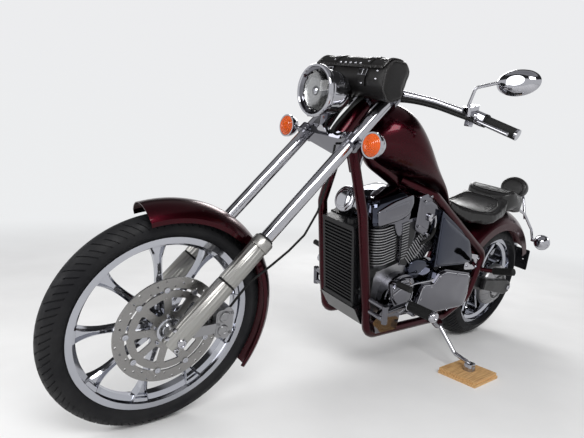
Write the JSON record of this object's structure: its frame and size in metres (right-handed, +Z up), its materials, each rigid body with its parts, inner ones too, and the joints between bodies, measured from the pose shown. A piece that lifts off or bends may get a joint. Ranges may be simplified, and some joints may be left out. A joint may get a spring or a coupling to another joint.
{
  "type": "chopper motorcycle",
  "caption": "Long raked chopper with a finned V-twin, flared spoke wheels, a handlebar bag and a padded backrest, leaning on its side stand on a small wooden board.",
  "frame": {"origin": "ground level under the centre of the parked motorcycle's bounding box", "axes": "+X forward, +Y to the rider's left (the side of the side stand), +Z up; the motorcycle leans 9.75 degrees towards +Y"},
  "size_m": [2.565, 0.949, 1.3491],
  "materials": {
    "tread_rubber": "matt",
    "wheel_chrome": "polished",
    "disc_steel": "brushed",
    "slider_alloy": "brushed",
    "burgundy_paint": "metallic gloss",
    "black_paint": "satin",
    "engine_alloy": "satin",
    "bright_chrome": "polished",
    "black_plastic": "gloss",
    "black_rubber": "matt",
    "black_leather": "satin",
    "clear_lens": "clear",
    "amber_lens": "tinted",
    "red_lens": "tinted",
    "mirror_glass": "silvered",
    "board_wood": "worn"
  },
  "bodies": {
    "chassis": {"frame_backbone": "burgundy_paint", "frame_left": "burgundy_paint", "frame_right": "burgundy_paint", "swingarm": "black_paint", "radiator": "black_paint", "radiator_cowl": "black_plastic", "engine_case": "engine_alloy", "engine_covers": "bright_chrome", "front_cylinder": "engine_alloy", "rear_cylinder": "engine_alloy", "front_head": "bright_chrome", "rear_head": "bright_chrome", "side_covers": "bright_chrome", "fuel_tank": "burgundy_paint", "rider_seat": "black_leather", "pillion_pad": "black_leather", "backrest_pad": "black_leather", "backrest_frame": "bright_chrome", "rear_fender": "burgundy_paint", "rear_signal_housings": "bright_chrome", "rear_signal_lenses": "amber_lens", "tail_light": "red_lens", "plate_bracket": "bright_chrome", "exhausts": "bright_chrome", "forward_controls": "bright_chrome", "footpegs": "black_rubber", "horn_cover": "bright_chrome", "rear_caliper": "engine_alloy", "parking_board": "board_wood"},
    "steering": {"fork_lowers": "slider_alloy", "fork_tubes": "bright_chrome", "triple_clamps": "bright_chrome", "handlebar": "bright_chrome", "grips": "black_rubber", "handlebar_controls": "bright_chrome", "mirror_shells": "bright_chrome", "mirror_glasses": "mirror_glass", "headlight_shell": "bright_chrome", "headlight_lens": "clear_lens", "handlebar_bag": "black_leather", "gauge": "bright_chrome", "front_signal_housings": "bright_chrome", "front_signal_lenses": "amber_lens", "front_fender": "burgundy_paint", "front_caliper": "engine_alloy", "front_brake_hose": "black_rubber"},
    "front_wheel": {"front_tyre": "tread_rubber", "front_rim": "wheel_chrome", "front_disc": "disc_steel"},
    "rear_wheel": {"rear_tyre": "tread_rubber", "rear_rim": "wheel_chrome", "rear_disc": "disc_steel"},
    "stand": {"side_stand": "bright_chrome"}
  },
  "joints": [
    {"name": "steering_turn", "type": "hinge", "parent": "chassis", "child": "steering", "pos_m": [1.02653, -0.20601, 0], "axis": [-0.5736, 0.1387, 0.8073], "range_deg": [-30, 30]},
    {"name": "front_wheel_spin", "type": "hinge", "parent": "steering", "child": "front_wheel", "pos_m": [0.93453, -0.14696, 0.34364], "axis": [0, 0.9856, -0.1693], "continuous": true},
    {"name": "rear_wheel_spin", "type": "hinge", "parent": "chassis", "child": "rear_wheel", "pos_m": [-0.87047, -0.15004, 0.32572], "axis": [0, 0.9856, -0.1693], "continuous": true},
    {"name": "side_stand_fold", "type": "hinge", "parent": "chassis", "child": "stand", "pos_m": [-0.35347, -0.00454, 0.18049], "axis": [0.2251, 0.6493, 0.7264], "range_deg": [0, 90]}
  ]
}
